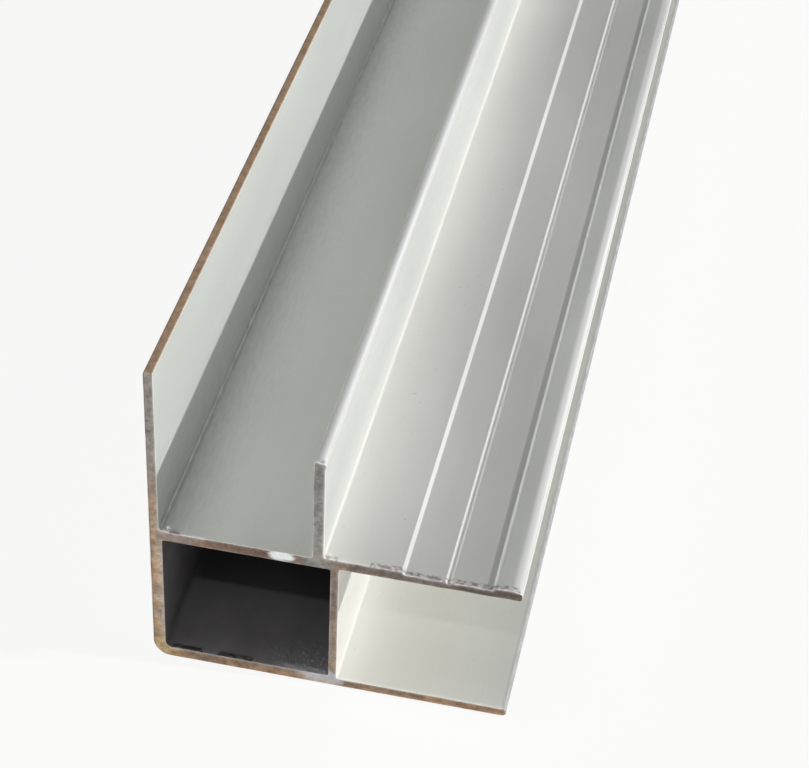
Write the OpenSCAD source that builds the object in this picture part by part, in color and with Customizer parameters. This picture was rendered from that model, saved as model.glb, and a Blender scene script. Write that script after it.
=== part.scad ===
// Aluminium extrusion profile: a hollow chamber with a side wall that stands above it,
// a middle fin beside the channel on its roof, and two flanges that reach out to the right.
// The length runs along Y, and the piece lies on its base with Z up.

/* [Stock] */
// Length that the piece is cut to
stock_l = 1000; // [300:10:6000]

/* [Chamber] */
// Clear width of the hollow chamber
chamber_w = 27.9; // [20:0.1:40]
// Clear height of the hollow chamber
chamber_h = 24.1; // [16:0.1:34]
// Thickness of the floor under the chamber
floor_t = 2; // [1.6:0.1:3]
// Thickness of the roof over the chamber
roof_t = 1.9; // [1.6:0.1:3]
// Thickness of the web between the chamber and the open side
web_t = 1.4; // [1:0.1:2.6]

/* [Side wall] */
// Height of the side wall from the base to its top edge
side_h = 60.3; // [52:0.1:80]
// Thickness of the side wall beside the chamber
side_t = 2.1; // [1.6:0.05:3]
// Thickness of the side wall above the chamber
fin_t = 1.55; // [1.2:0.05:3]

/* [Middle fin] */
// Height of the middle fin above the roof
mid_h = 20.2; // [8:0.1:30]
// Thickness of the middle fin
mid_t = 1.85; // [1.75:0.05:3]
// Clear width of the channel between the side wall and the middle fin
channel_w = 25.45; // [14:0.05:26]

/* [Base flange] */
// Reach of the base from the outer face of the side wall
base_w = 60.1; // [52:0.1:76]
// Thickness of the flange beside the web
flange_t = 1.6; // [1.4:0.1:3]
// Rounding of both edges of the flange's tip
flange_r = 0.7; // [0.2:0.1:0.7]

/* [Shelf] */
// How far the shelf reaches past the base
overhang = 0.9; // [0:0.1:4]
// Thickness of the shelf
shelf_t = 1.9; // [1.8:0.1:3]
// How far the shelf sits above the level of the chamber's roof
shelf_rise = 0.3; // [0:0.1:0.6]
// Width of the crowned edge on top of the nose
nose_w = 2; // [0.6:0.1:2.4]
// How far the crowned edge of the nose falls
nose_d = 0.5; // [0.1:0.05:0.9]
// Rounding of the nose underneath
nose_under_r = 0.4; // [0.2:0.1:0.4]

/* [Drilling line] */
// Distance of the drilling line from the tip of the nose
line_in = 11.9; // [10.5:0.1:14]
// Width of the shallow recess along the drilling line
recess_w = 15.2; // [8:0.1:16]
// Depth of the recess
recess_d = 0.55; // [0.1:0.05:0.6]
// Width of each sloped side of the recess
recess_slope = 0.55; // [0.2:0.05:1.5]
// Width of the V-groove that marks the line
groove_w = 0.95; // [0.4:0.05:2]
// Depth of the V-groove below the recess
groove_d = 0.45; // [0.1:0.05:0.7]

/* [Edges] */
// Rounding of the outer corner under the side wall
corner_r = 3; // [1:0.1:3.6]
// Fillet of the chamber's corner inside that one
inner_r = 1.2; // [0.4:0.1:2]
// Fillet of the other inside corners
root_r = 0.4; // [0.3:0.1:1]
// Width of the crowned edge of the middle fin's crest, on the side of the shelf
crest_w = 1.3; // [0.4:0.1:1.3]
// How far the crowned edge of the crest falls
crest_d = 0.5; // [0.1:0.05:0.9]
// Rounding of the other top edges
edge_r = 0.3; // [0.1:0.05:0.4]

/* [Hidden] */
$fn = 64;
// How far a fillet or a cut runs past the face that it meets
over = 0.5;
// Flat strips that make up a crowned edge
crown_n = 4;
web_x = side_t + chamber_w;
web_end = web_x + web_t;
roof_z = floor_t + chamber_h;
roof_top = roof_z + roof_t;
mid_x = fin_t + channel_w;
mid_end = mid_x + mid_t;
mid_top = roof_top + mid_h;
shelf_w = base_w + overhang;
shelf_z = roof_z + shelf_rise;
shelf_top = shelf_z + shelf_t;
line_x = shelf_w - line_in;
recess_z = shelf_top - recess_d;

// Rectangle from its lower left corner
module plate(x, z, w, h) {
    translate([x, z]) square([w, h]);
}

// What lies between a square corner at the origin and the quarter circle inside it
module corner(r) {
    difference() {
        translate([-over, -over]) square(r + over);
        translate([r, r]) circle(r);
    }
}

// Corner piece at a point, turned so that its quarter circle opens the given way
module corner_at(x, z, r, turn) {
    translate([x, z]) rotate(turn) corner(r);
}

// What a crowned edge leaves off the square corner at a point: it falls ever more steeply to the right
module crown(x, z, w, d) {
    steps = [for (i = [0:crown_n]) i / crown_n];
    curve = [for (s = steps) [w * (s - 1), -d * s * s]];
    translate([x, z]) polygon(concat([[-w, over]], curve, [[over, -d], [over, over]]));
}

module plates() {
    plate(0, 0, side_t, roof_top);
    plate(0, roof_z, fin_t, side_h - roof_z);
    plate(0, 0, web_end, floor_t);
    plate(web_x, 0, base_w - web_x, flange_t);
    plate(0, roof_z, web_end, roof_t);
    plate(web_x, 0, web_t, shelf_top);
    plate(mid_x, roof_z, mid_t, roof_t + mid_h);
    plate(mid_x, shelf_z, shelf_w - mid_x, shelf_t);
}

module rounded_edges() {
    corner_at(0, 0, corner_r, 0);
    corner_at(0, side_h, edge_r, 270);
    corner_at(fin_t, side_h, edge_r, 180);
    corner_at(mid_x, mid_top, edge_r, 270);
    crown(mid_end, mid_top, crest_w, crest_d);
    crown(shelf_w, shelf_top, nose_w, nose_d);
    corner_at(shelf_w, shelf_z, nose_under_r, 90);
    corner_at(base_w, flange_t, flange_r, 180);
    corner_at(base_w, 0, flange_r, 90);
}

module fillets() {
    corner_at(side_t, floor_t, inner_r, 0);
    corner_at(web_x, floor_t, root_r, 90);
    corner_at(web_x, roof_z, root_r, 180);
    corner_at(side_t, roof_z, root_r, 270);
    corner_at(fin_t, roof_top, root_r, 0);
    corner_at(mid_x, roof_top, root_r, 90);
    corner_at(mid_end, shelf_top, root_r, 0);
    corner_at(web_end, flange_t, root_r, 0);
    corner_at(web_end, shelf_z, root_r, 270);
}

// Shallow recess with sloped sides, and the V-groove along its middle
module drilling_line() {
    recess_half = recess_w / 2;
    groove_half = groove_w / 2;
    translate([line_x, recess_z]) polygon([
        [-recess_half, recess_d + over],
        [-recess_half, recess_d],
        [recess_slope - recess_half, 0],
        [-groove_half, 0],
        [0, -groove_d],
        [groove_half, 0],
        [recess_half - recess_slope, 0],
        [recess_half, recess_d],
        [recess_half, recess_d + over]
    ]);
}

module section() {
    difference() {
        plates();
        rounded_edges();
        drilling_line();
    }
    fillets();
}

module profile() {
    color("silver")
        translate([-shelf_w / 2, 0, 0])
            rotate([90, 0, 0])
                linear_extrude(height = stock_l, center = true)
                    section();
}

profile();
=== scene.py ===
import math

import bpy
import numpy as np
from mathutils import Matrix, Vector
from mathutils.geometry import delaunay_2d_cdt


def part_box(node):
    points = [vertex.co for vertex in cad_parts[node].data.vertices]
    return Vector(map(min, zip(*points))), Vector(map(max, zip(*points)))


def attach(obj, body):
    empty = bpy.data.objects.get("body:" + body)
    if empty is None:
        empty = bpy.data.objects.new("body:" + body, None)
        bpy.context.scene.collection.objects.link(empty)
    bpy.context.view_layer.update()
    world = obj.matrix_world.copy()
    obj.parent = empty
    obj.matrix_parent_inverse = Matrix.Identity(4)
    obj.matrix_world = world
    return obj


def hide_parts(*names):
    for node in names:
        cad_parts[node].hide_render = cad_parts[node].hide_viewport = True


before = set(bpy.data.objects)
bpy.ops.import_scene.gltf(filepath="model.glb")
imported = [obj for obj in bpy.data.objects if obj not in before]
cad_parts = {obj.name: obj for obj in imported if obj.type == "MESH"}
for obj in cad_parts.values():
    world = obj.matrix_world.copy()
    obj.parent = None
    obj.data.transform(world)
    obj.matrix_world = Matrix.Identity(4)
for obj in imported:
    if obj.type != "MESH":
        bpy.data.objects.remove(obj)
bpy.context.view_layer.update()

barLow, barHigh = (np.array(corner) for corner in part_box("profile"))
scene = bpy.context.scene
scene.view_settings.view_transform = "Standard"
mm = 0.001
print("frame: bar of", np.round((barHigh - barLow) / mm, 1), "mm")

# Camera, measured from the left foot of the near end: across, along the bar and up
viewCamera = {
    "eyeMm": (87.996, -262.145, 281.358),
    "azimuth": 10.2686,    # degrees that the view turns to the left of the bar's length
    "elevation": 38.903,   # degrees that it looks down
    "roll": 2.788,         # degrees that its right side is raised
    "focalPx": 2316.1,     # for a picture of this width
    "widthPx": 809,
    "sensorMm": 36,
}


# The view direction is turned by azimuth and elevation, and its level right is turned about it by the roll
def addCamera(values):
    azimuth, elevation, roll = (math.radians(values[key]) for key in ("azimuth", "elevation", "roll"))
    ahead = Vector((-math.sin(azimuth) * math.cos(elevation),
                    math.cos(azimuth) * math.cos(elevation), -math.sin(elevation)))
    level = ahead.cross(Vector((0, 0, 1))).normalized()
    right = level * math.cos(roll) + level.cross(ahead) * math.sin(roll)
    up = right.cross(ahead)
    data = bpy.data.cameras.new("viewCamera")
    data.sensor_fit = "HORIZONTAL"
    data.sensor_width = values["sensorMm"]
    data.lens = values["focalPx"] * values["sensorMm"] / values["widthPx"]
    camera = bpy.data.objects.new("viewCamera", data)
    turn = Matrix((right, up, -ahead)).transposed().to_4x4()
    nearFoot = Vector(barLow.tolist())
    camera.matrix_world = Matrix.Translation(nearFoot + Vector(values["eyeMm"]) * mm) @ turn
    scene.collection.objects.link(camera)
    scene.camera = camera


addCamera(viewCamera)
print("camera: set")

# The bar's section in millimetres, across from the side wall's outer face and up from the base. A window is
# a stretch of the outline as across from, across to, up from and up to, mostly with a strength or a height.
barShape = {
    "chamberWide": 27.9, "chamberHigh": 24.1, "floor": 2.0, "roof": 1.9, "web": 1.4,
    "sideWall": 2.1, "sideFin": 1.55, "midFin": 1.85, "midFinHigh": 20.2, "channelWide": 25.45,
    "flange": 1.6, "overhang": 0.9, "shelf": 1.9, "shelfRise": 0.3,
    "lineIn": 11.9, "recessWide": 15.2, "recessDeep": 0.55, "recessSlope": 0.55,
    "grooveWide": 1.05, "grooveDeep": 0.45,
    "footRound": 3.0, "footFillet": 1.2, "rootFillet": 0.4, "edgeRound": 0.3, "tipRound": 0.69,
    "crestCrown": 1.5, "crestFall": 0.46, "noseCrown": 2.1, "noseFall": 0.52, "crownEdge": 0.2,
    "noseUnderRound": 0.4, "riserRound": 0.22, "stepRound": 0.1, "grooveRound": 0.06,
    # painted highlight: windows on the nose's and the crest's edges where the skin is made pale and smoother
    "highlightEdges": ((59.35, 61.4, 27.2, 28.8, 1.0), (27.75, 29.2, 47.1, 48.6, 1.0)),
    # painted shade, darker patches that stand for the shade in the side channel's left corner, along that
    # corner's fillet, on the middle fin's face and at the flange's tip: a window, then the centre across and
    # up, its reach both ways and its strength
    "paintedShades": (((1.3, 27, 27.5, 61), (1.55, 28), (9, 12), 0.36),
               ((1.3, 4, 27.5, 29.4), (1.8, 28.1), (0.9, 0.6), 0.75),
               ((28.3, 29.2, 29.5, 47), (28.85, 38), (2, 20), 0.22),
               ((59.3, 60.6, -0.5, 1.9), (60.1, 0.8), (0.8, 3), 0.95)),
    "windowSoft": 0.5,     # over which the ends of a window fade
    "arcSteps": 12,        # straight pieces in one rounded corner
    "spacing": 0.28,       # between points on the flat stretches
    "leastGap": 0.45,      # share of the spacing that such a point keeps from a rounding
    "sharpAngle": 40,      # degrees from which an edge is shaded as sharp
    "seed": 7,
}
# The sawn ends in millimetres. The windows of burrs, chips and curls end with a height, those of pale rims
# with a strength.
cutShape = {
    "edgeBreak": 0.03, "edgeBreakSpread": 0.05, "edgeStep": 1.1,
    "rings": (0, 0.04, 0.09, 0.16, 0.26, 0.42, 0.6, 0.8, 1.0, 1.2, 1.4, 1.7, 2.1),
    "burrReach": 1.3, "burrStep": 0.45,
    "burrShares": (0.6, 0.4),           # of the raggedness that all rings have and of each ring's own
    "burrSteep": 1.7, "burrCut": 0.5,   # the raggedness is made steeper, and then lowered
    "burrFull": 0.1,                    # height of a burr that is marked in full
    "burrs": ((36.5, 60.4, 27.3, 28.6, 0.1), (3.2, 8.2, 1.8, 2.6, 0.1), (11.2, 16.8, 1.8, 2.3, 0.09),
              (20.5, 29.4, 1.8, 2.3, 0.1), (1.5, 5, 27.7, 28.8, 0.05), (28.8, 31, 28.1, 28.8, 0.04)),
    "chips": ((2.4, 3.2, 27.8, 28.6, 0.7), (29.4, 30, 28.1, 28.7, 0.3)),
    "chipAt": 1.1, "chipReach": 0.28, "chipPale": 3,
    "curls": ((1.4, 2.6, 27.8, 28.8, 0.3), (28.3, 29.2, 47.0, 48.2, 0.2)),
    "rimStep": 1.6, "rimReach": 0.16, "rimShare": 0.4,
    "paleReach": 0.42, "paleShares": (0.6, 0.4),    # of the even part and the ragged part
    "paleRims": ((27.2, 29.1, 46.8, 48.5, 1.0), (28.6, 29.1, 28.3, 47.5, 0.9), (31.1, 31.8, 1.7, 26, 0.9),
                 (1.4, 1.7, 28, 60, 0.5), (32, 59.6, 1.2, 1.9, 0.75), (28.8, 38, 28.1, 28.6, 0.9),
                 (1.4, 9.5, 27.8, 28.7, 0.9), (2.0, 2.3, 3.2, 26, 0.6), (3, 29.6, 1.8, 2.3, 0.7),
                 (36.5, 60.4, 27.3, 28.6, 0.8)),
    "sawDeep": 0.02, "sawPitch": 0.8, "sawSlope": 0.1,
    "sawFine": 0.37,                    # pitch of the fine waves as a share of the pitch
    "sawShares": (0.5, 0.32, 0.18),     # of the level, the waves and the fine waves
    "sawSway": (1.3, 3.1, 7),           # of the waves: radians, then the lengths up and across
    "fineSway": (2, 2.3),               # of the fine waves: radians, then the length across
    "capSpacing": 0.3, "capMargin": 0.16, "capRimReach": 0.55, "capRimShare": 0.5,
    "capParts": 40,                     # the cap's points are measured in so many parts, to keep arrays small
    "mergeGap": 1e-7,                   # cap points closer than this become one
    "midStations": 22,
}
skinFinish, capFinish, chamberFinish, edgeFinish = range(4)    # places of the materials on the bar


def unit(vectors):
    return vectors / np.linalg.norm(vectors, axis=-1, keepdims=True)


# Outline through corners given as x, z and how far the rounding reaches back and ahead along the two sides.
# Each rounding is a quarter of an ellipse: from the corner, back reach times 1 - sin t along the side before,
# and ahead reach times 1 - cos t along the side after. The flat stretches are then filled with even points.
def roundedOutline(corners, s):
    corners = np.array(corners)
    point, back, ahead = corners[:, None, :2], corners[:, None, 2:3], corners[:, None, 3:]
    toLast = unit(np.roll(point, 1, axis=0) - point)
    toNext = unit(np.roll(point, -1, axis=0) - point)
    turn = np.linspace(0, np.pi / 2, s["arcSteps"] + 1)[None, :, None]
    ring = point + toLast * back * (1 - np.sin(turn)) + toNext * ahead * (1 - np.cos(turn))
    ring = ring.reshape(-1, 2)
    closed = np.vstack([ring, ring[:1]])
    along = np.append(0, np.cumsum(np.linalg.norm(np.diff(closed, axis=0), axis=1)))
    filler = np.arange(0, along[-1], s["spacing"])
    clear = np.abs(filler[:, None] - along).min(axis=1) > s["leastGap"] * s["spacing"]
    stations = np.sort(np.append(along[:-1], filler[clear]))
    return np.column_stack([np.interp(stations, along, closed[:, axis]) for axis in (0, 1)])


# Two corners in place of a square one. The top bends down over the crown's width in a parabola, whose end
# tangents meet halfway along it, and a small rounding joins it to the side.
def crownedEdge(x, z, wide, fall, edge):
    slant = math.hypot(wide / 2, fall)
    return (x, z - fall, edge, edge), (x - wide / 2, z, slant - edge, wide / 2)


# Corners of the outer outline, counter-clockwise, and of the chamber, clockwise, so that metal is on the left
def sectionCorners(s, width, height):
    baseReach = width - s["overhang"]
    webLeft = s["sideWall"] + s["chamberWide"]
    webRight = webLeft + s["web"]
    roofUnder = s["floor"] + s["chamberHigh"]
    roofTop = roofUnder + s["roof"]
    finLeft = s["sideFin"] + s["channelWide"]
    finRight = finLeft + s["midFin"]
    finTop = roofTop + s["midFinHigh"]
    shelfUnder = roofUnder + s["shelfRise"]
    shelfTop = shelfUnder + s["shelf"]
    lineAt = width - s["lineIn"]
    recess = shelfTop - s["recessDeep"]
    recessHalf, grooveHalf, slope = s["recessWide"] / 2, s["grooveWide"] / 2, s["recessSlope"]
    tip, root, edge = s["tipRound"], s["rootFillet"], s["edgeRound"]
    step, riser, groove = s["stepRound"], s["riserRound"], s["grooveRound"]
    outer = [
        (0, 0, s["footRound"], s["footRound"]),
        (baseReach, 0, tip, tip),
        (baseReach, s["flange"], tip, tip),
        (webRight, s["flange"], root, root),
        (webRight, shelfUnder, root, root),
        (width, shelfUnder, s["noseUnderRound"], s["noseUnderRound"]),
        *crownedEdge(width, shelfTop, s["noseCrown"], s["noseFall"], s["crownEdge"]),
        (lineAt + recessHalf, shelfTop, riser, riser),
        (lineAt + recessHalf - slope, recess, step, step),
        (lineAt + grooveHalf, recess, groove, groove),
        (lineAt, recess - s["grooveDeep"], groove, groove),
        (lineAt - grooveHalf, recess, groove, groove),
        (lineAt - recessHalf + slope, recess, step, step),
        (lineAt - recessHalf, shelfTop, step, step),
        (finRight, shelfTop, root, root),
        *crownedEdge(finRight, finTop, s["crestCrown"], s["crestFall"], s["crownEdge"]),
        (finLeft, finTop, edge, edge),
        (finLeft, roofTop, root, root),
        (s["sideFin"], roofTop, root, root),
        (s["sideFin"], height, edge, edge),
        (0, height, edge, edge),
    ]
    chamber = [
        (s["sideWall"], s["floor"], s["footFillet"], s["footFillet"]),
        (s["sideWall"], roofUnder, root, root),
        (webLeft, roofUnder, root, root),
        (webLeft, s["floor"], root, root),
    ]
    return outer, chamber


# Outward normal of a closed outline: the chord between a point's two neighbours, turned by a quarter
def outlineNormals(outline):
    chord = np.roll(outline, -1, axis=0) - np.roll(outline, 1, axis=0)
    return unit(np.column_stack([chord[:, 1], -chord[:, 0]]))


# Ragged line: random heights from 0 to 1 at every step of a length, joined by straight lines
def raggedLine(along, step, random):
    knots = np.arange(0, along.max() + 2 * step, step)
    return np.interp(along, knots, random.random(knots.size))


# Strength at each point of the outline: that of the strongest window there, and half of it at its ends
def inWindows(outline, windows):
    x, z = outline.T
    strength = np.zeros(len(outline))
    for acrossFrom, acrossTo, upFrom, upTo, most in windows:
        margin = np.minimum(np.minimum(x - acrossFrom, acrossTo - x), np.minimum(z - upFrom, upTo - z))
        strength = np.maximum(strength, most * np.clip(margin / barShape["windowSoft"] + 0.5, 0, 1))
    return strength


# Strength of the painted shade: inside its window, each patch falls as exp(-(across / reach)^2 - (up /
# reach)^2)
def paintedShadeStrength(outline, paintedShades):
    strength = np.zeros(len(outline))
    for window, centre, reach, most in paintedShades:
        fall = np.exp(-np.sum(((outline - centre) / reach) ** 2, axis=1))
        strength = np.maximum(strength, fall * inWindows(outline, (window + (most,),)))
    return strength


# Inside the section where a line to the right crosses an odd number of the outlines' edges
def insideSection(points, loops):
    crossings = np.zeros(len(points), int)
    for loop in loops:
        start, end = loop, np.roll(loop, -1, axis=0)
        straddles = (start[:, 1] > points[:, 1:]) != (end[:, 1] > points[:, 1:])
        rise = np.where(end[:, 1] == start[:, 1], 1, end[:, 1] - start[:, 1])
        crossX = start[:, 0] + (points[:, 1:] - start[:, 1]) * (end[:, 0] - start[:, 0]) / rise
        crossings += np.sum(straddles & (crossX > points[:, :1]), axis=1)
    return crossings % 2 == 1


# Depth of the saw's strokes at x, z: slanted waves of a changing pitch, from nothing to sawDeep
def sawDepth(x, z, cut):
    across = z + cut["sawSlope"] * x
    level, waveShare, fineShare = cut["sawShares"]
    sway, swayUp, swayAcross = cut["sawSway"]
    fineSway, fineAcross = cut["fineSway"]
    finePitch = cut["sawFine"] * cut["sawPitch"]
    wave = np.sin(2 * np.pi * across / cut["sawPitch"] + sway * np.sin(across / swayUp + x / swayAcross))
    fine = np.sin(2 * np.pi * across / finePitch + fineSway * np.sin(x / fineAcross))
    return cut["sawDeep"] * (level + waveShare * wave + fineShare * fine)


# Cap of small triangles: a square grid of points inside the outlines and clear of them, joined to them. It
# also gives each point's nearest place on the outlines and the gap to it.
def capTriangles(loops, edges, width, height, cut):
    outline = np.vstack(loops)
    across, up = np.meshgrid(*(np.arange(0, size, cut["capSpacing"]) for size in (width, height)))
    grid = np.column_stack([across.ravel(), up.ravel()])
    grid = grid[insideSection(grid, loops)]
    nearest = np.concatenate([np.linalg.norm(part[:, None] - outline, axis=2).argmin(axis=1)
                              for part in np.array_split(grid, cut["capParts"])])
    gap = np.linalg.norm(grid - outline[nearest], axis=1)
    clear = gap > cut["capMargin"]
    grid, nearest, gap = grid[clear], nearest[clear], gap[clear]
    flat = np.vstack([outline, grid])
    places = [Vector(place) for place in flat.tolist()]
    result = delaunay_2d_cdt(places, edges.tolist(), [], 1, cut["mergeGap"])
    source = np.array([origin[0] for origin in result[3]])
    triangles = source[np.array(result[2])]
    return grid, nearest, gap, triangles[insideSection(flat[triangles].mean(axis=1), loops)]


# Rings of one cut end, counted from the cut. The outline is drawn in along its normal by the broken edge, a
# quarter round of r - sqrt(r^2 - (r - d)^2) at the depth d, and pushed out by the burr, which is ragged along
# the edge and from ring to ring and dies away over its reach, and by chips, bell curves that stand a little
# behind the cut. The first ring follows the saw's strokes. The rim's mark falls as exp(-d / reach), or as
# exp(-(d / reach)^4) where it is pale, and the burr's mark dies away with the burr.
def cutRings(outline, normals, along, width, height, cut, random):
    depth = np.array(cut["rings"])[:, None]
    edgeBreak = cut["edgeBreak"] + cut["edgeBreakSpread"] * raggedLine(along, cut["edgeStep"], random)
    short = np.clip(edgeBreak - depth, 0, None)
    drawn = edgeBreak - np.sqrt(np.clip(edgeBreak ** 2 - short ** 2, 0, None))
    ragged = np.stack([raggedLine(along, cut["burrStep"], random) for ring in depth])
    sharedPart, ownPart = cut["burrShares"]
    ragged = sharedPart * ragged[:1] + ownPart * ragged
    ragged = np.clip(cut["burrSteep"] * ragged - cut["burrCut"], 0, 1)
    fade = np.clip(1 - depth / cut["burrReach"], 0, 1)
    burrHigh = inWindows(outline, cut["burrs"])
    curlHigh = inWindows(outline, cut["curls"])
    chip = inWindows(outline, cut["chips"]) * np.exp(-((depth - cut["chipAt"]) / cut["chipReach"]) ** 2)
    push = np.maximum(burrHigh * ragged, curlHigh) * fade + chip * ragged - drawn
    x = np.clip(outline[:, 0] + normals[:, 0] * push, 0, width)
    z = np.clip(outline[:, 1] + normals[:, 1] * push, 0, height)
    y = depth + np.zeros(len(outline))
    y[0] = sawDepth(outline[:, 0], outline[:, 1], cut)
    rim = cut["rimShare"] * raggedLine(along, cut["rimStep"], random) * np.exp(-depth / cut["rimReach"])
    evenPart, raggedPart = cut["paleShares"]
    pale = inWindows(outline, cut["paleRims"])
    pale = pale * (evenPart + raggedPart * raggedLine(along, cut["rimStep"], random))
    rim = np.maximum(rim, pale * np.exp(-(depth / cut["paleReach"]) ** 4))
    rim = np.maximum(rim, np.clip(cut["chipPale"] * chip, 0, 1))
    return x, y, z, rim, np.clip(burrHigh / cut["burrFull"], 0, 1) * fade


# Bar: the section's outline carried along the length between its two cut ends, each closed by a cap
def buildBar(s, cut):
    width, length, height = (barHigh - barLow) / mm
    loops = [roundedOutline(corners, s) for corners in sectionCorners(s, width, height)]
    outline = np.vstack(loops)
    normals = np.vstack([outlineNormals(loop) for loop in loops])
    outerCount, count = len(loops[0]), len(outline)
    here = np.arange(count)
    onChamber = here >= outerCount
    following = np.append(np.roll(here[:outerCount], -1), np.roll(here[outerCount:], -1))
    along = np.append(0, np.cumsum(np.linalg.norm(np.diff(outline, axis=0), axis=1)))
    edges = np.column_stack([here, following])
    grid, nearest, gap, triangles = capTriangles(loops, edges, width, height, cut)
    random = np.random.default_rng(s["seed"])
    nearX, nearY, nearZ, nearRim, nearBurr = cutRings(outline, normals, along, width, height, cut, random)
    farX, farY, farZ, farRim, farBurr = cutRings(outline, normals, along, width, height, cut, random)
    ends = cut["rings"][-1]
    middle = np.linspace(ends, length - ends, cut["midStations"] + 2)[1:-1, None]
    plain = np.zeros((len(middle), count))
    x = np.vstack([nearX, plain + outline[:, 0], farX[::-1]])
    y = np.vstack([nearY, plain + middle, length - farY[::-1]])
    z = np.vstack([nearZ, plain + outline[:, 1], farZ[::-1]])
    rim = np.vstack([nearRim, plain, farRim[::-1]])
    burr = np.vstack([nearBurr, plain, farBurr[::-1]])

    dent = sawDepth(grid[:, 0], grid[:, 1], cut)
    vertices = np.vstack([np.column_stack([x.ravel(), y.ravel(), z.ravel()]),
                          np.column_stack([grid[:, 0], dent, grid[:, 1]]),
                          np.column_stack([grid[:, 0], length - dent, grid[:, 1]])])
    inward = np.clip(1 - gap / cut["capRimReach"], 0, 1)
    capRim = cut["capRimShare"] * np.append(nearRim[0, nearest] * inward, farRim[0, nearest] * inward)
    onCaps = np.zeros(capRim.size)
    highlightEdge = np.tile(inWindows(outline, s["highlightEdges"]), len(x))
    # painted shade: strength of the darker patches on the skin, none in the chamber
    paintedShade = np.tile(paintedShadeStrength(outline, s["paintedShades"]) * ~onChamber, len(x))
    marks = {"rim": np.append(rim.ravel(), capRim), "burr": np.append(burr.ravel(), onCaps),
             "highlightEdge": np.append(highlightEdge, onCaps), "paintedShade": np.append(paintedShade, onCaps)}

    first = np.arange(len(x) - 1)[:, None] * count
    second = first + count
    quads = np.stack([first + here, second + here, second + following, first + following], axis=2)
    quads = quads.reshape(-1, 4)
    nearPoints = np.append(here, x.size + np.arange(len(grid)))
    farPoints = np.append(x.size - count + here, x.size + len(grid) + np.arange(len(grid)))
    caps = np.vstack([nearPoints[triangles], farPoints[triangles][:, ::-1]])
    onFinTop = (outline[:, 1] > height - s["edgeRound"] / 2) & ~onChamber
    sides = np.where(onFinTop & onFinTop[following], edgeFinish, skinFinish)
    sides = np.where(onChamber, chamberFinish, sides)
    finish = np.append(np.tile(sides, len(first)), np.full(len(caps), capFinish))
    return vertices * mm + barLow, quads.tolist() + caps.tolist(), finish, marks


def linkPiece(name, vertices, faces):
    mesh = bpy.data.meshes.new(name)
    mesh.from_pydata(vertices.tolist(), [], faces)
    mesh.update()
    piece = bpy.data.objects.new(name, mesh)
    scene.collection.objects.link(piece)
    return piece


barVertices, barFaces, barFinish, barMarks = buildBar(barShape, cutShape)
bar = linkPiece("extruded_bar", barVertices, barFaces)
bar.data.shade_smooth()
bar.data.set_sharp_from_angle(angle=math.radians(barShape["sharpAngle"]))
for markName, values in barMarks.items():
    bar.data.attributes.new(markName, "FLOAT", "POINT").data.foreach_set("value", values.astype(np.float32))
bar.data.polygons.foreach_set("material_index", barFinish.astype(np.int32))
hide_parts("profile")
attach(bar, "root")
bar.data.calc_loop_triangles()
print("bar:", len(barVertices), "points,", len(bar.data.loop_triangles), "triangles")

noiseSpan = (0.35, 0.65)    # where most of a noise's values lie
burrSpan = (0.02, 0.3)      # values of the burr's mark over which its colour comes in


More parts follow.
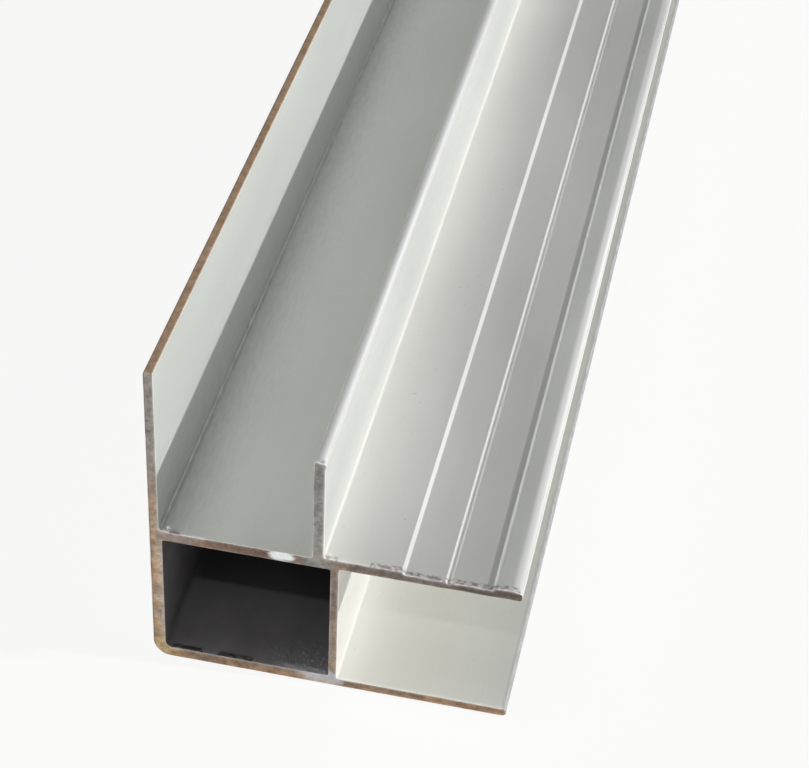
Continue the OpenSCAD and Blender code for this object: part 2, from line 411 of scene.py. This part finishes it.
# Node tree with short calls: add makes a node with settings and inputs, and an input socket is wired
class finishTree:
    def __init__(self, name):
        self.material = bpy.data.materials.new(name)
        self.material.use_nodes = True
        self.nodes = self.material.node_tree.nodes
        self.links = self.material.node_tree.links
        self.surface = self.nodes["Principled BSDF"]
        self.coordinates = self.nodes.new("ShaderNodeTexCoord").outputs["Object"]

    def put(self, node, inputs):
        for key, value in inputs.items():
            socket = node.inputs[key]
            if isinstance(value, bpy.types.NodeSocket):
                self.links.new(value, socket)
            else:
                socket.default_value = value
        return node

    def add(self, kind, inputs, **settings):
        node = self.nodes.new("ShaderNode" + kind)
        for key, value in settings.items():
            setattr(node, key, value)
        return self.put(node, inputs)

    # Noise in the object's coordinates: one unit of the pattern is so many millimetres on each axis
    def noise(self, sizesMm, detail, turn=(0, 0, 0)):
        scaled = self.add("Mapping", {"Vector": self.coordinates, "Rotation": turn,
                                      "Scale": [1 / (size * mm) for size in sizesMm]})
        return self.add("TexNoise", {"Vector": scaled.outputs["Vector"], "Scale": 1, "Detail": detail,
                                     "Roughness": 0.55}).outputs["Fac"]

    # Value carried straight from one range to another, and held at its ends
    def ranged(self, value, fromLow, fromHigh, low, high):
        return self.add("MapRange", {"Value": value, "From Min": fromLow, "From Max": fromHigh,
                                     "To Min": low, "To Max": high}).outputs["Result"]

    def spread(self, noise, low, high):
        return self.ranged(noise, *noiseSpan, low, high)

    def math(self, operation, first, second):
        return self.add("Math", {0: first, 1: second}, operation=operation).outputs["Value"]

    # Sum of values, each times its share
    def weighed(self, first, *others):
        total = self.math("MULTIPLY", *first)
        for part in others:
            total = self.math("ADD", total, self.math("MULTIPLY", *part))
        return total

    def mix(self, factor, first, second):
        node = self.add("Mix", {0: factor, 6: first, 7: second}, data_type="RGBA")
        return node.outputs[2]

    # Spot that is 1 at its centre and fades to 0 at its half sizes
    def spot(self, centreMm, halfMm):
        place = (barLow + np.array(centreMm) * mm).tolist()
        local = self.add("Mapping", {"Vector": self.coordinates, "Location": place,
                                     "Scale": [half * mm for half in halfMm]}, vector_type="TEXTURE")
        return self.add("TexGradient", {"Vector": local.outputs["Vector"]},
                        gradient_type="SPHERICAL").outputs["Fac"]

    # Value that the mesh itself carries under a name
    def mark(self, name):
        return self.add("Attribute", {}, attribute_name=name).outputs["Fac"]

    # Band behind the burr's lip: it comes in with the burr's mark and falls to a share of itself at the lip
    def behindLip(self, burr, lipFrom, lipTo, lipShare):
        return self.math("MULTIPLY", self.ranged(burr, *burrSpan, 0, 1),
                         self.ranged(burr, lipFrom, lipTo, 1, lipShare))

    def bump(self, height, strength, distanceMm):
        return self.add("Bump", {"Height": height, "Strength": strength,
                                 "Distance": distanceMm * mm}).outputs["Normal"]

    def finish(self, **inputs):
        self.put(self.surface, {key.replace("_", " "): value for key, value in inputs.items()})
        return self.material


def rgba(red, green, blue):
    return (red, green, blue, 1)


# Patterns have sizes in millimetres across, along and up. A pair ending in At is where a noise or a mark
# starts to show and shows in full. Tinges are given by their centre and half sizes, in millimetres.
anodisedLook = {
    "pale": rgba(0.80, 0.812, 0.785), "dull": rgba(0.75, 0.762, 0.738), "rim": rgba(1.0, 0.99, 0.96),
    "metallic": 0.6, "roughLow": 0.42, "roughHigh": 0.48, "bumpShare": 0.1, "bumpMm": 0.006,
    "dieLineMm": (0.5, 300, 0.5), "dieShare": 0.25, "dieRelief": 0.5,
    "cloudMm": (14, 50, 14), "cloudShare": 0.75, "grainMm": (0.09, 0.09, 0.09), "grainRelief": 0.5,
    # the first tinge, cream over the side channel, is painted warm reflected light; the second, green on the
    # side fin, is the skin's colour
    "tinges": (((31.4, 500, 14), (34, 9000, 22), rgba(0.82, 0.81, 0.762)),
               ((1.6, 500, 46), (3, 9000, 24), rgba(0.77, 0.80, 0.765))),
    "tingeAt": (0, 0.6), "tingeShare": 0.8,
    "paintedShade": rgba(0.41, 0.422, 0.43), "paintedShadeMm": (0.7, 3, 0.7), "paintedShadeLow": 0.7, "paintedShadeHigh": 1.2,
    # painted highlight on the nose's and the crest's edges: its pale colour, its share and how much smoother
    # they are
    "highlightEdge": rgba(0.92, 0.92, 0.91), "highlightShare": 0.7, "highlightGloss": 0.15,
    "dust": rgba(0.45, 0.45, 0.43), "dustMm": (0.9, 1.1, 0.9), "dustAt": (0.7, 0.78), "dustShare": 0.35,
    # painted highlight on the burr's lip: its colour, where the burr's mark brings it in, and its share
    "lip": rgba(0.88, 0.82, 0.83), "lipAt": (0.5, 0.75), "lipShare": 0.7,
    "burr": rgba(0.34, 0.29, 0.31), "burrLip": (0.6, 1, 0.55),
    "fleckMm": (0.95, 0.7, 0.95), "fleckAt": (0.43, 0.57), "fleckShare": 0.9,
}


# Satin anodised skin: lines along the length from the die, slow clouds of tone, a cream tinge in the side
# channel that is painted warm reflected light and a green one on the side fin, uneven painted shade in the
# side channel's corner, on the middle fin's face and at the flange's tip, a painted highlight that makes the
# nose's and the crest's edges pale, which are also smoother, a few grains of dust and pale cut rims. The burr
# has a pale lip on the cut, which is a painted highlight, and dark flecks behind it. The die's lines and a
# fine grain make the relief.
def anodisedSkin(look):
    tree = finishTree("anodised_skin")
    dieLines = tree.noise(look["dieLineMm"], 3)
    clouds = tree.noise(look["cloudMm"], 2)
    grain = tree.noise(look["grainMm"], 2)
    dust = tree.noise(look["dustMm"], 2)
    flecks = tree.noise(look["fleckMm"], 3)
    patches = tree.noise(look["paintedShadeMm"], 3)
    highlightEdge, burr = tree.mark("highlightEdge"), tree.mark("burr")
    tone = tree.weighed((dieLines, look["dieShare"]), (clouds, look["cloudShare"]))
    colour = tree.mix(tree.spread(tone, 0, 1), look["dull"], look["pale"])
    for centre, half, tinge in look["tinges"]:
        amount = tree.ranged(tree.spot(centre, half), *look["tingeAt"], 0, look["tingeShare"])
        colour = tree.mix(amount, colour, tinge)
    # painted shade: the skin is darkened where this mark says, a little unevenly
    uneven = tree.spread(patches, look["paintedShadeLow"], look["paintedShadeHigh"])
    colour = tree.mix(tree.math("MULTIPLY", tree.mark("paintedShade"), uneven), colour, look["paintedShade"])
    # painted highlight: the nose's and the crest's edges are made pale
    colour = tree.mix(tree.math("MULTIPLY", highlightEdge, look["highlightShare"]), colour, look["highlightEdge"])
    colour = tree.mix(tree.ranged(dust, *look["dustAt"], 0, look["dustShare"]), colour, look["dust"])
    colour = tree.mix(tree.mark("rim"), colour, look["rim"])
    # painted highlight: the burr's lip at the cut is made pale pinkish white
    colour = tree.mix(tree.ranged(burr, *look["lipAt"], 0, look["lipShare"]), colour, look["lip"])
    dark = tree.math("MULTIPLY", tree.behindLip(burr, *look["burrLip"]),
                     tree.ranged(flecks, *look["fleckAt"], 0, look["fleckShare"]))
    colour = tree.mix(dark, colour, look["burr"])
    rough = tree.math("SUBTRACT", tree.spread(tone, look["roughLow"], look["roughHigh"]),
                      tree.math("MULTIPLY", highlightEdge, look["highlightGloss"]))
    relief = tree.weighed((dieLines, look["dieRelief"]), (grain, look["grainRelief"]))
    return tree.finish(Base_Color=colour, Metallic=look["metallic"], Roughness=rough,
                       Normal=tree.bump(relief, look["bumpShare"], look["bumpMm"]))


# Tints and polished spots are given by their centre and half sizes, in millimetres across, along and up
sawnLook = {
    "wall": rgba(0.282, 0.215, 0.175), "foot": rgba(0.38, 0.31, 0.245), "fin": rgba(0.305, 0.288, 0.27),
    "footToMm": 12, "finFromMm": 30, "finToMm": 42,
    "tints": (((1.2, 0, 14), (2.6, 3, 26), rgba(0.51, 0.415, 0.335)),
              ((48, 0, 27.4), (17, 3, 4), rgba(0.19, 0.155, 0.135)),
              ((57, 0, 27.2), (9, 3, 3), rgba(0.13, 0.10, 0.085)),
              ((28, 0, 40), (4, 3, 22), rgba(0.29, 0.285, 0.27)),
              ((46, 0, 0.6), (17, 3, 3), rgba(0.225, 0.148, 0.103)),
              ((14, 0, 0.7), (14, 3, 2.6), rgba(0.285, 0.21, 0.158)),
              ((13, 0, 27), (14, 3, 2.6), rgba(0.225, 0.148, 0.11)),
              ((2.2, 0, 2.2), (3.4, 3, 3.4), rgba(0.56, 0.415, 0.24)),
              ((5, 0, 27.6), (4.5, 3, 1.6), rgba(0.32, 0.26, 0.23)),
              ((28.9, 0, 1.2), (4.6, 3, 2.6), rgba(0.40, 0.38, 0.415))),
    "tintAt": (0.05, 0.3),
    "rust": rgba(0.46, 0.285, 0.16), "rustReachMm": (1.9, 1.7), "rustFromMm": 44, "rustToMm": 30,
    "rustMm": (2.4, 2.4, 2.4), "rustRagged": (-0.45, 0.35), "rustAt": (0.1, 0.9), "rustShare": 0.9,
    "rustAbove": 0.1,      # what is left of the rust from rustFromMm up
    # painted shade along the side wall's outer edge: its colour, its width and its share
    "paintedEdgeShade": rgba(0.11, 0.075, 0.06), "paintedEdgeShadeMm": 0.32, "paintedEdgeShadeShare": 0.85,
    "rim": rgba(0.84, 0.80, 0.78), "rimShare": 0.9,
    "strokeMm": (2.6, 2.6, 0.3), "strokeTurn": 0.06, "strokeShare": 0.1,
    "blotchMm": (1.5, 1.5, 1.5), "blotchShare": 0.6, "speckMm": (0.5, 0.5, 0.5), "speckShare": 0.3,
    "shadeAt": (0.36, 0.64), "darkest": 0.57, "palest": 1.43,
    "metallic": 0.5, "rough": 0.55, "roughAt": (0.3, 0.7), "roughSpread": 0.1,
    "bumpShare": 0.15, "bumpMm": 0.03,
    "polished": rgba(0.93, 0.99, 1.0), "polishedRough": 0.27, "polishedAt": (0.05, 0.45),
    "polishedSpots": (((21.9, 0, 27.2), (2.6, 2, 1.35), 1), ((28.9, 0, 1.2), (4.4, 2, 2.2), 0.25)),
    "streakLow": 0.6, "streakHigh": 1.5,
}


# Bare sawn metal: brown, paler at the foot and greyer up the fins, with rust towards its outer edges and
# painted shade along the outer edge of the side wall, made darker and paler by blotches, specks and faint
# strokes of the saw. A few spots were polished by the saw.
def sawnMetal(name, look):
    tree = finishTree(name)
    strokes = tree.noise(look["strokeMm"], 4, (0, look["strokeTurn"], 0))
    blotches = tree.noise(look["blotchMm"], 3)
    specks = tree.noise(look["speckMm"], 2)
    patches = tree.noise(look["rustMm"], 3)
    shade = tree.weighed((blotches, look["blotchShare"]), (specks, look["speckShare"]),
                         (strokes, look["strokeShare"]))
    axes = tree.add("SeparateXYZ", {"Vector": tree.coordinates}).outputs
    across, up, left = axes["X"], axes["Z"], barLow[0]
    colour = tree.mix(tree.ranged(up, 0, look["footToMm"] * mm, 1, 0), look["wall"], look["foot"])
    onFin = tree.ranged(up, look["finFromMm"] * mm, look["finToMm"] * mm, 0, 1)
    colour = tree.mix(onFin, colour, look["fin"])
    for centre, half, tint in look["tints"]:
        colour = tree.mix(tree.ranged(tree.spot(centre, half), *look["tintAt"], 0, 1), colour, tint)
    reachAcross, reachUp = look["rustReachMm"]
    outer = tree.math("MAXIMUM", tree.ranged(across, left, left + reachAcross * mm, 1, 0),
                      tree.ranged(up, 0, reachUp * mm, 1, 0))
    ragged = tree.math("ADD", outer, tree.spread(patches, *look["rustRagged"]))
    low = tree.ranged(up, look["rustFromMm"] * mm, look["rustToMm"] * mm, look["rustAbove"], 1)
    rust = tree.math("MULTIPLY", low, tree.ranged(ragged, *look["rustAt"], 0, look["rustShare"]))
    colour = tree.mix(rust, colour, look["rust"])
    value = tree.ranged(shade, *look["shadeAt"], look["darkest"], look["palest"])
    colour = tree.add("HueSaturation", {"Color": colour, "Value": value}).outputs["Color"]
    rough = tree.ranged(shade, *look["roughAt"], look["rough"] - look["roughSpread"],
                        look["rough"] + look["roughSpread"])
    for centre, half, strength in look["polishedSpots"]:
        streaks = tree.spread(strokes, look["streakLow"], look["streakHigh"])
        streaked = tree.math("MULTIPLY", tree.spot(centre, half), streaks)
        shine = tree.ranged(streaked, *look["polishedAt"], 0, strength)
        colour = tree.mix(shine, colour, look["polished"])
        smoothed = tree.math("MULTIPLY", shine, look["rough"] - look["polishedRough"])
        rough = tree.math("SUBTRACT", rough, smoothed)
    colour = tree.mix(tree.math("MULTIPLY", tree.mark("rim"), look["rimShare"]), colour, look["rim"])
    # painted shade: a dark band along the side wall's outer edge
    paintedEdgeShade = tree.ranged(across, left, left + look["paintedEdgeShadeMm"] * mm, look["paintedEdgeShadeShare"], 0)
    colour = tree.mix(paintedEdgeShade, colour, look["paintedEdgeShade"])
    return tree.finish(Base_Color=colour, Metallic=look["metallic"], Roughness=rough,
                       Normal=tree.bump(shade, look["bumpShare"], look["bumpMm"]))


# The side fin's top edge: the same metal in one brown, without tints and polished spots, and with weaker
# painted shade along the outer edge
edgeBrown = rgba(0.475, 0.333, 0.222)
edgeLook = dict(sawnLook, wall=edgeBrown, foot=edgeBrown, fin=edgeBrown, darkest=0.78, palest=1.2,
                strokeMm=(0.3, 5, 0.3), tints=(), polishedSpots=(), paintedEdgeShadeShare=0.4)

chamberLook = {
    "pale": rgba(0.27, 0.258, 0.266), "dull": rgba(0.215, 0.206, 0.212), "rim": rgba(0.42, 0.40, 0.385),
    "metallic": 0.5, "rough": 0.6, "bumpShare": 0.15, "bumpMm": 0.05,
    # painted shade deep inside the chamber: its colour and where it comes in
    "deepShade": rgba(0.105, 0.102, 0.105), "deepShadeFromMm": 8, "deepShadeToMm": 24,
    "cloudMm": (7, 16, 7), "fleckMm": (1.7, 0.8, 1.7), "fleckAt": (0.3, 0.55),
    "scratched": ((28, 1.5, 1.9), (11, 7, 5)), "scratchedAt": (0, 0.9), "scratchedShare": 0.8,
    "scratchMm": (0.28, 0.7, 0.28), "scratchTurn": 0.9, "scratchAt": (0.53, 0.63), "scratchShare": 0.9,
    "patchAt": (0.4, 0.6), "patchLeast": 0.4,
    "burrDark": rgba(0.05, 0.045, 0.045), "burrPale": rgba(0.62, 0.63, 0.65), "burrLip": (0.65, 0.9, 0.2),
    "paleFromMm": 17, "paleToMm": 24,
}


# Inside of the chamber: dull metal as it left the die, with painted shade that darkens it away from the ends.
# Its lip has a dark burr on the left and a bright one on the right, with pale scratches beside it.
def chamberSkin(look):
    tree = finishTree("chamber_skin")
    clouds = tree.noise(look["cloudMm"], 3)
    flecks = tree.noise(look["fleckMm"], 3)
    scratches = tree.noise(look["scratchMm"], 2, (0, 0, look["scratchTurn"]))
    colour = tree.mix(tree.spread(clouds, 0, 1), look["dull"], look["pale"])
    near = tree.ranged(tree.spot(*look["scratched"]), *look["scratchedAt"], 0, look["scratchedShare"])
    scratched = tree.math("MULTIPLY", near, tree.ranged(flecks, *look["patchAt"], look["patchLeast"], 1))
    lines = tree.ranged(scratches, *look["scratchAt"], 0, look["scratchShare"])
    colour = tree.mix(tree.math("MULTIPLY", scratched, lines), colour, look["burrPale"])
    axes = tree.add("SeparateXYZ", {"Vector": tree.coordinates}).outputs
    left, end = barLow[0], barHigh[1]
    fromMiddle = tree.add("Math", {0: axes["Y"]}, operation="ABSOLUTE").outputs["Value"]
    # painted shade: darker colour deeper inside the chamber
    inside = tree.ranged(fromMiddle, end - look["deepShadeFromMm"] * mm, end - look["deepShadeToMm"] * mm, 0, 1)
    colour = tree.mix(inside, colour, look["deepShade"])
    right = tree.ranged(axes["X"], left + look["paleFromMm"] * mm, left + look["paleToMm"] * mm, 0, 1)
    burrColour = tree.mix(right, look["burrDark"], look["burrPale"])
    amount = tree.math("MULTIPLY", tree.behindLip(tree.mark("burr"), *look["burrLip"]),
                       tree.ranged(flecks, *look["fleckAt"], 0, 1))
    colour = tree.mix(tree.mark("rim"), colour, look["rim"])
    colour = tree.mix(amount, colour, burrColour)
    return tree.finish(Base_Color=colour, Metallic=look["metallic"], Roughness=look["rough"],
                       Normal=tree.bump(clouds, look["bumpShare"], look["bumpMm"]))


# In the order of the finishes' places
for material in (anodisedSkin(anodisedLook), sawnMetal("sawn_end", sawnLook), chamberSkin(chamberLook),
                 sawnMetal("sawn_edge", edgeLook)):
    bar.data.materials.append(material)
print("materials:", ", ".join(material.name for material in bar.data.materials))

# Light: a lamp low on the right, a weak one high in front, soft boxes in front of the near end, far off
# behind on the right, higher behind, above the near end and low on the left, and a surround paler overhead
studioLight = {
    # each lamp: where its light comes from, its strength and its angle in degrees
    "lamps": {"keyLamp": ((1, 0.08, 0.3325), 3.35, 1.2), "frontLamp": ((0.05, -0.58, 0.815), 0.45, 2)},
    # each box: its place, the point that it faces, its width and height in metres, and its watts
    "boxes": {"nearBox": ((0, -2.0, 0.48), (0, -0.5, 0.03), (2.0, 0.6), 8),
              "farBox": ((2.0, 2.76, 1.68), (0, -0.3, 0.05), (1.4, 1.0), 14),
              "backBox": ((0.88, 2.77, 2.46), (0, -0.3, 0.05), (1.4, 1.0), 3.5),
              "topBox": ((-0.25, -0.58, 1.1), (0, -0.5, 0.03), (0.44, 0.66), 2.75),
              "leftBox": ((-2.2, 0, 0.45), (0, 0, 0.03), (2.0, 0.6), 9)},
    "surround": rgba(0.97, 0.99, 1.0), "horizon": 0.0, "zenith": 0.05,
}


def addLight(name, kind, towards, **settings):
    data = bpy.data.lights.new(name, kind)
    for key, value in settings.items():
        setattr(data, key, value)
    lamp = bpy.data.objects.new(name, data)
    lamp.rotation_euler = Vector(towards).to_track_quat("Z", "Y").to_euler()
    scene.collection.objects.link(lamp)
    return lamp


def addLights(values):
    for name, (origin, strength, angle) in values["lamps"].items():
        addLight(name, "SUN", origin, energy=strength, angle=math.radians(angle))
    for name, (place, facing, (wide, high), watts) in values["boxes"].items():
        box = addLight(name, "AREA", Vector(place) - Vector(facing), shape="RECTANGLE", size=wide,
                       size_y=high, energy=watts)
        box.location = place
        box.visible_camera = False


# Surround: one colour whose strength goes from the horizon's to the zenith's with the height of the direction
def addSurround(values):
    world = bpy.data.worlds.new("surround")
    world.use_nodes = True
    nodes, links = world.node_tree.nodes, world.node_tree.links
    direction = nodes.new("ShaderNodeTexCoord").outputs["Generated"]
    height = nodes.new("ShaderNodeSeparateXYZ")
    links.new(direction, height.inputs["Vector"])
    strength = nodes.new("ShaderNodeMapRange")
    links.new(height.outputs["Z"], strength.inputs["Value"])
    strength.inputs["To Min"].default_value = values["horizon"]
    strength.inputs["To Max"].default_value = values["zenith"]
    background = nodes["Background"].inputs
    background["Color"].default_value = values["surround"]
    links.new(strength.outputs["Result"], background["Strength"])
    scene.world = world


floorLook = {
    "colour": rgba(0.86, 0.835, 0.785), "rough": 0.9, "glow": rgba(1, 1, 1), "glowShare": 0.88,
    "mirrorShare": 0.5, "half": 30,
}


# Floor: a pale plane that the camera sees mostly as plain white, with the bar's shadow left in it.
# Reflections see a weaker white, by the mirror share.
def addFloor(look):
    half = look["half"]
    corners = np.array([(-half, -half, 0), (half, -half, 0), (half, half, 0), (-half, half, 0)])
    floor = linkPiece("floor", corners, [(0, 1, 2, 3)])
    tree = finishTree("floor_paint")
    tree.finish(Base_Color=look["colour"], Roughness=look["rough"])
    path = tree.nodes.new("ShaderNodeLightPath").outputs
    mirrored = tree.math("MULTIPLY", path["Is Glossy Ray"], look["mirrorShare"])
    seen = tree.math("MAXIMUM", path["Is Camera Ray"], path["Is Transmission Ray"])
    share = tree.math("MULTIPLY", tree.math("MAXIMUM", seen, mirrored), look["glowShare"])
    glow = tree.add("Emission", {"Color": look["glow"], "Strength": 1.0}).outputs["Emission"]
    blend = tree.add("MixShader", {0: share, 1: tree.surface.outputs["BSDF"], 2: glow})
    tree.links.new(blend.outputs["Shader"], tree.nodes["Material Output"].inputs["Surface"])
    floor.data.materials.append(tree.material)


addLights(studioLight)
addSurround(studioLight)
addFloor(floorLook)
print("light and floor: set")
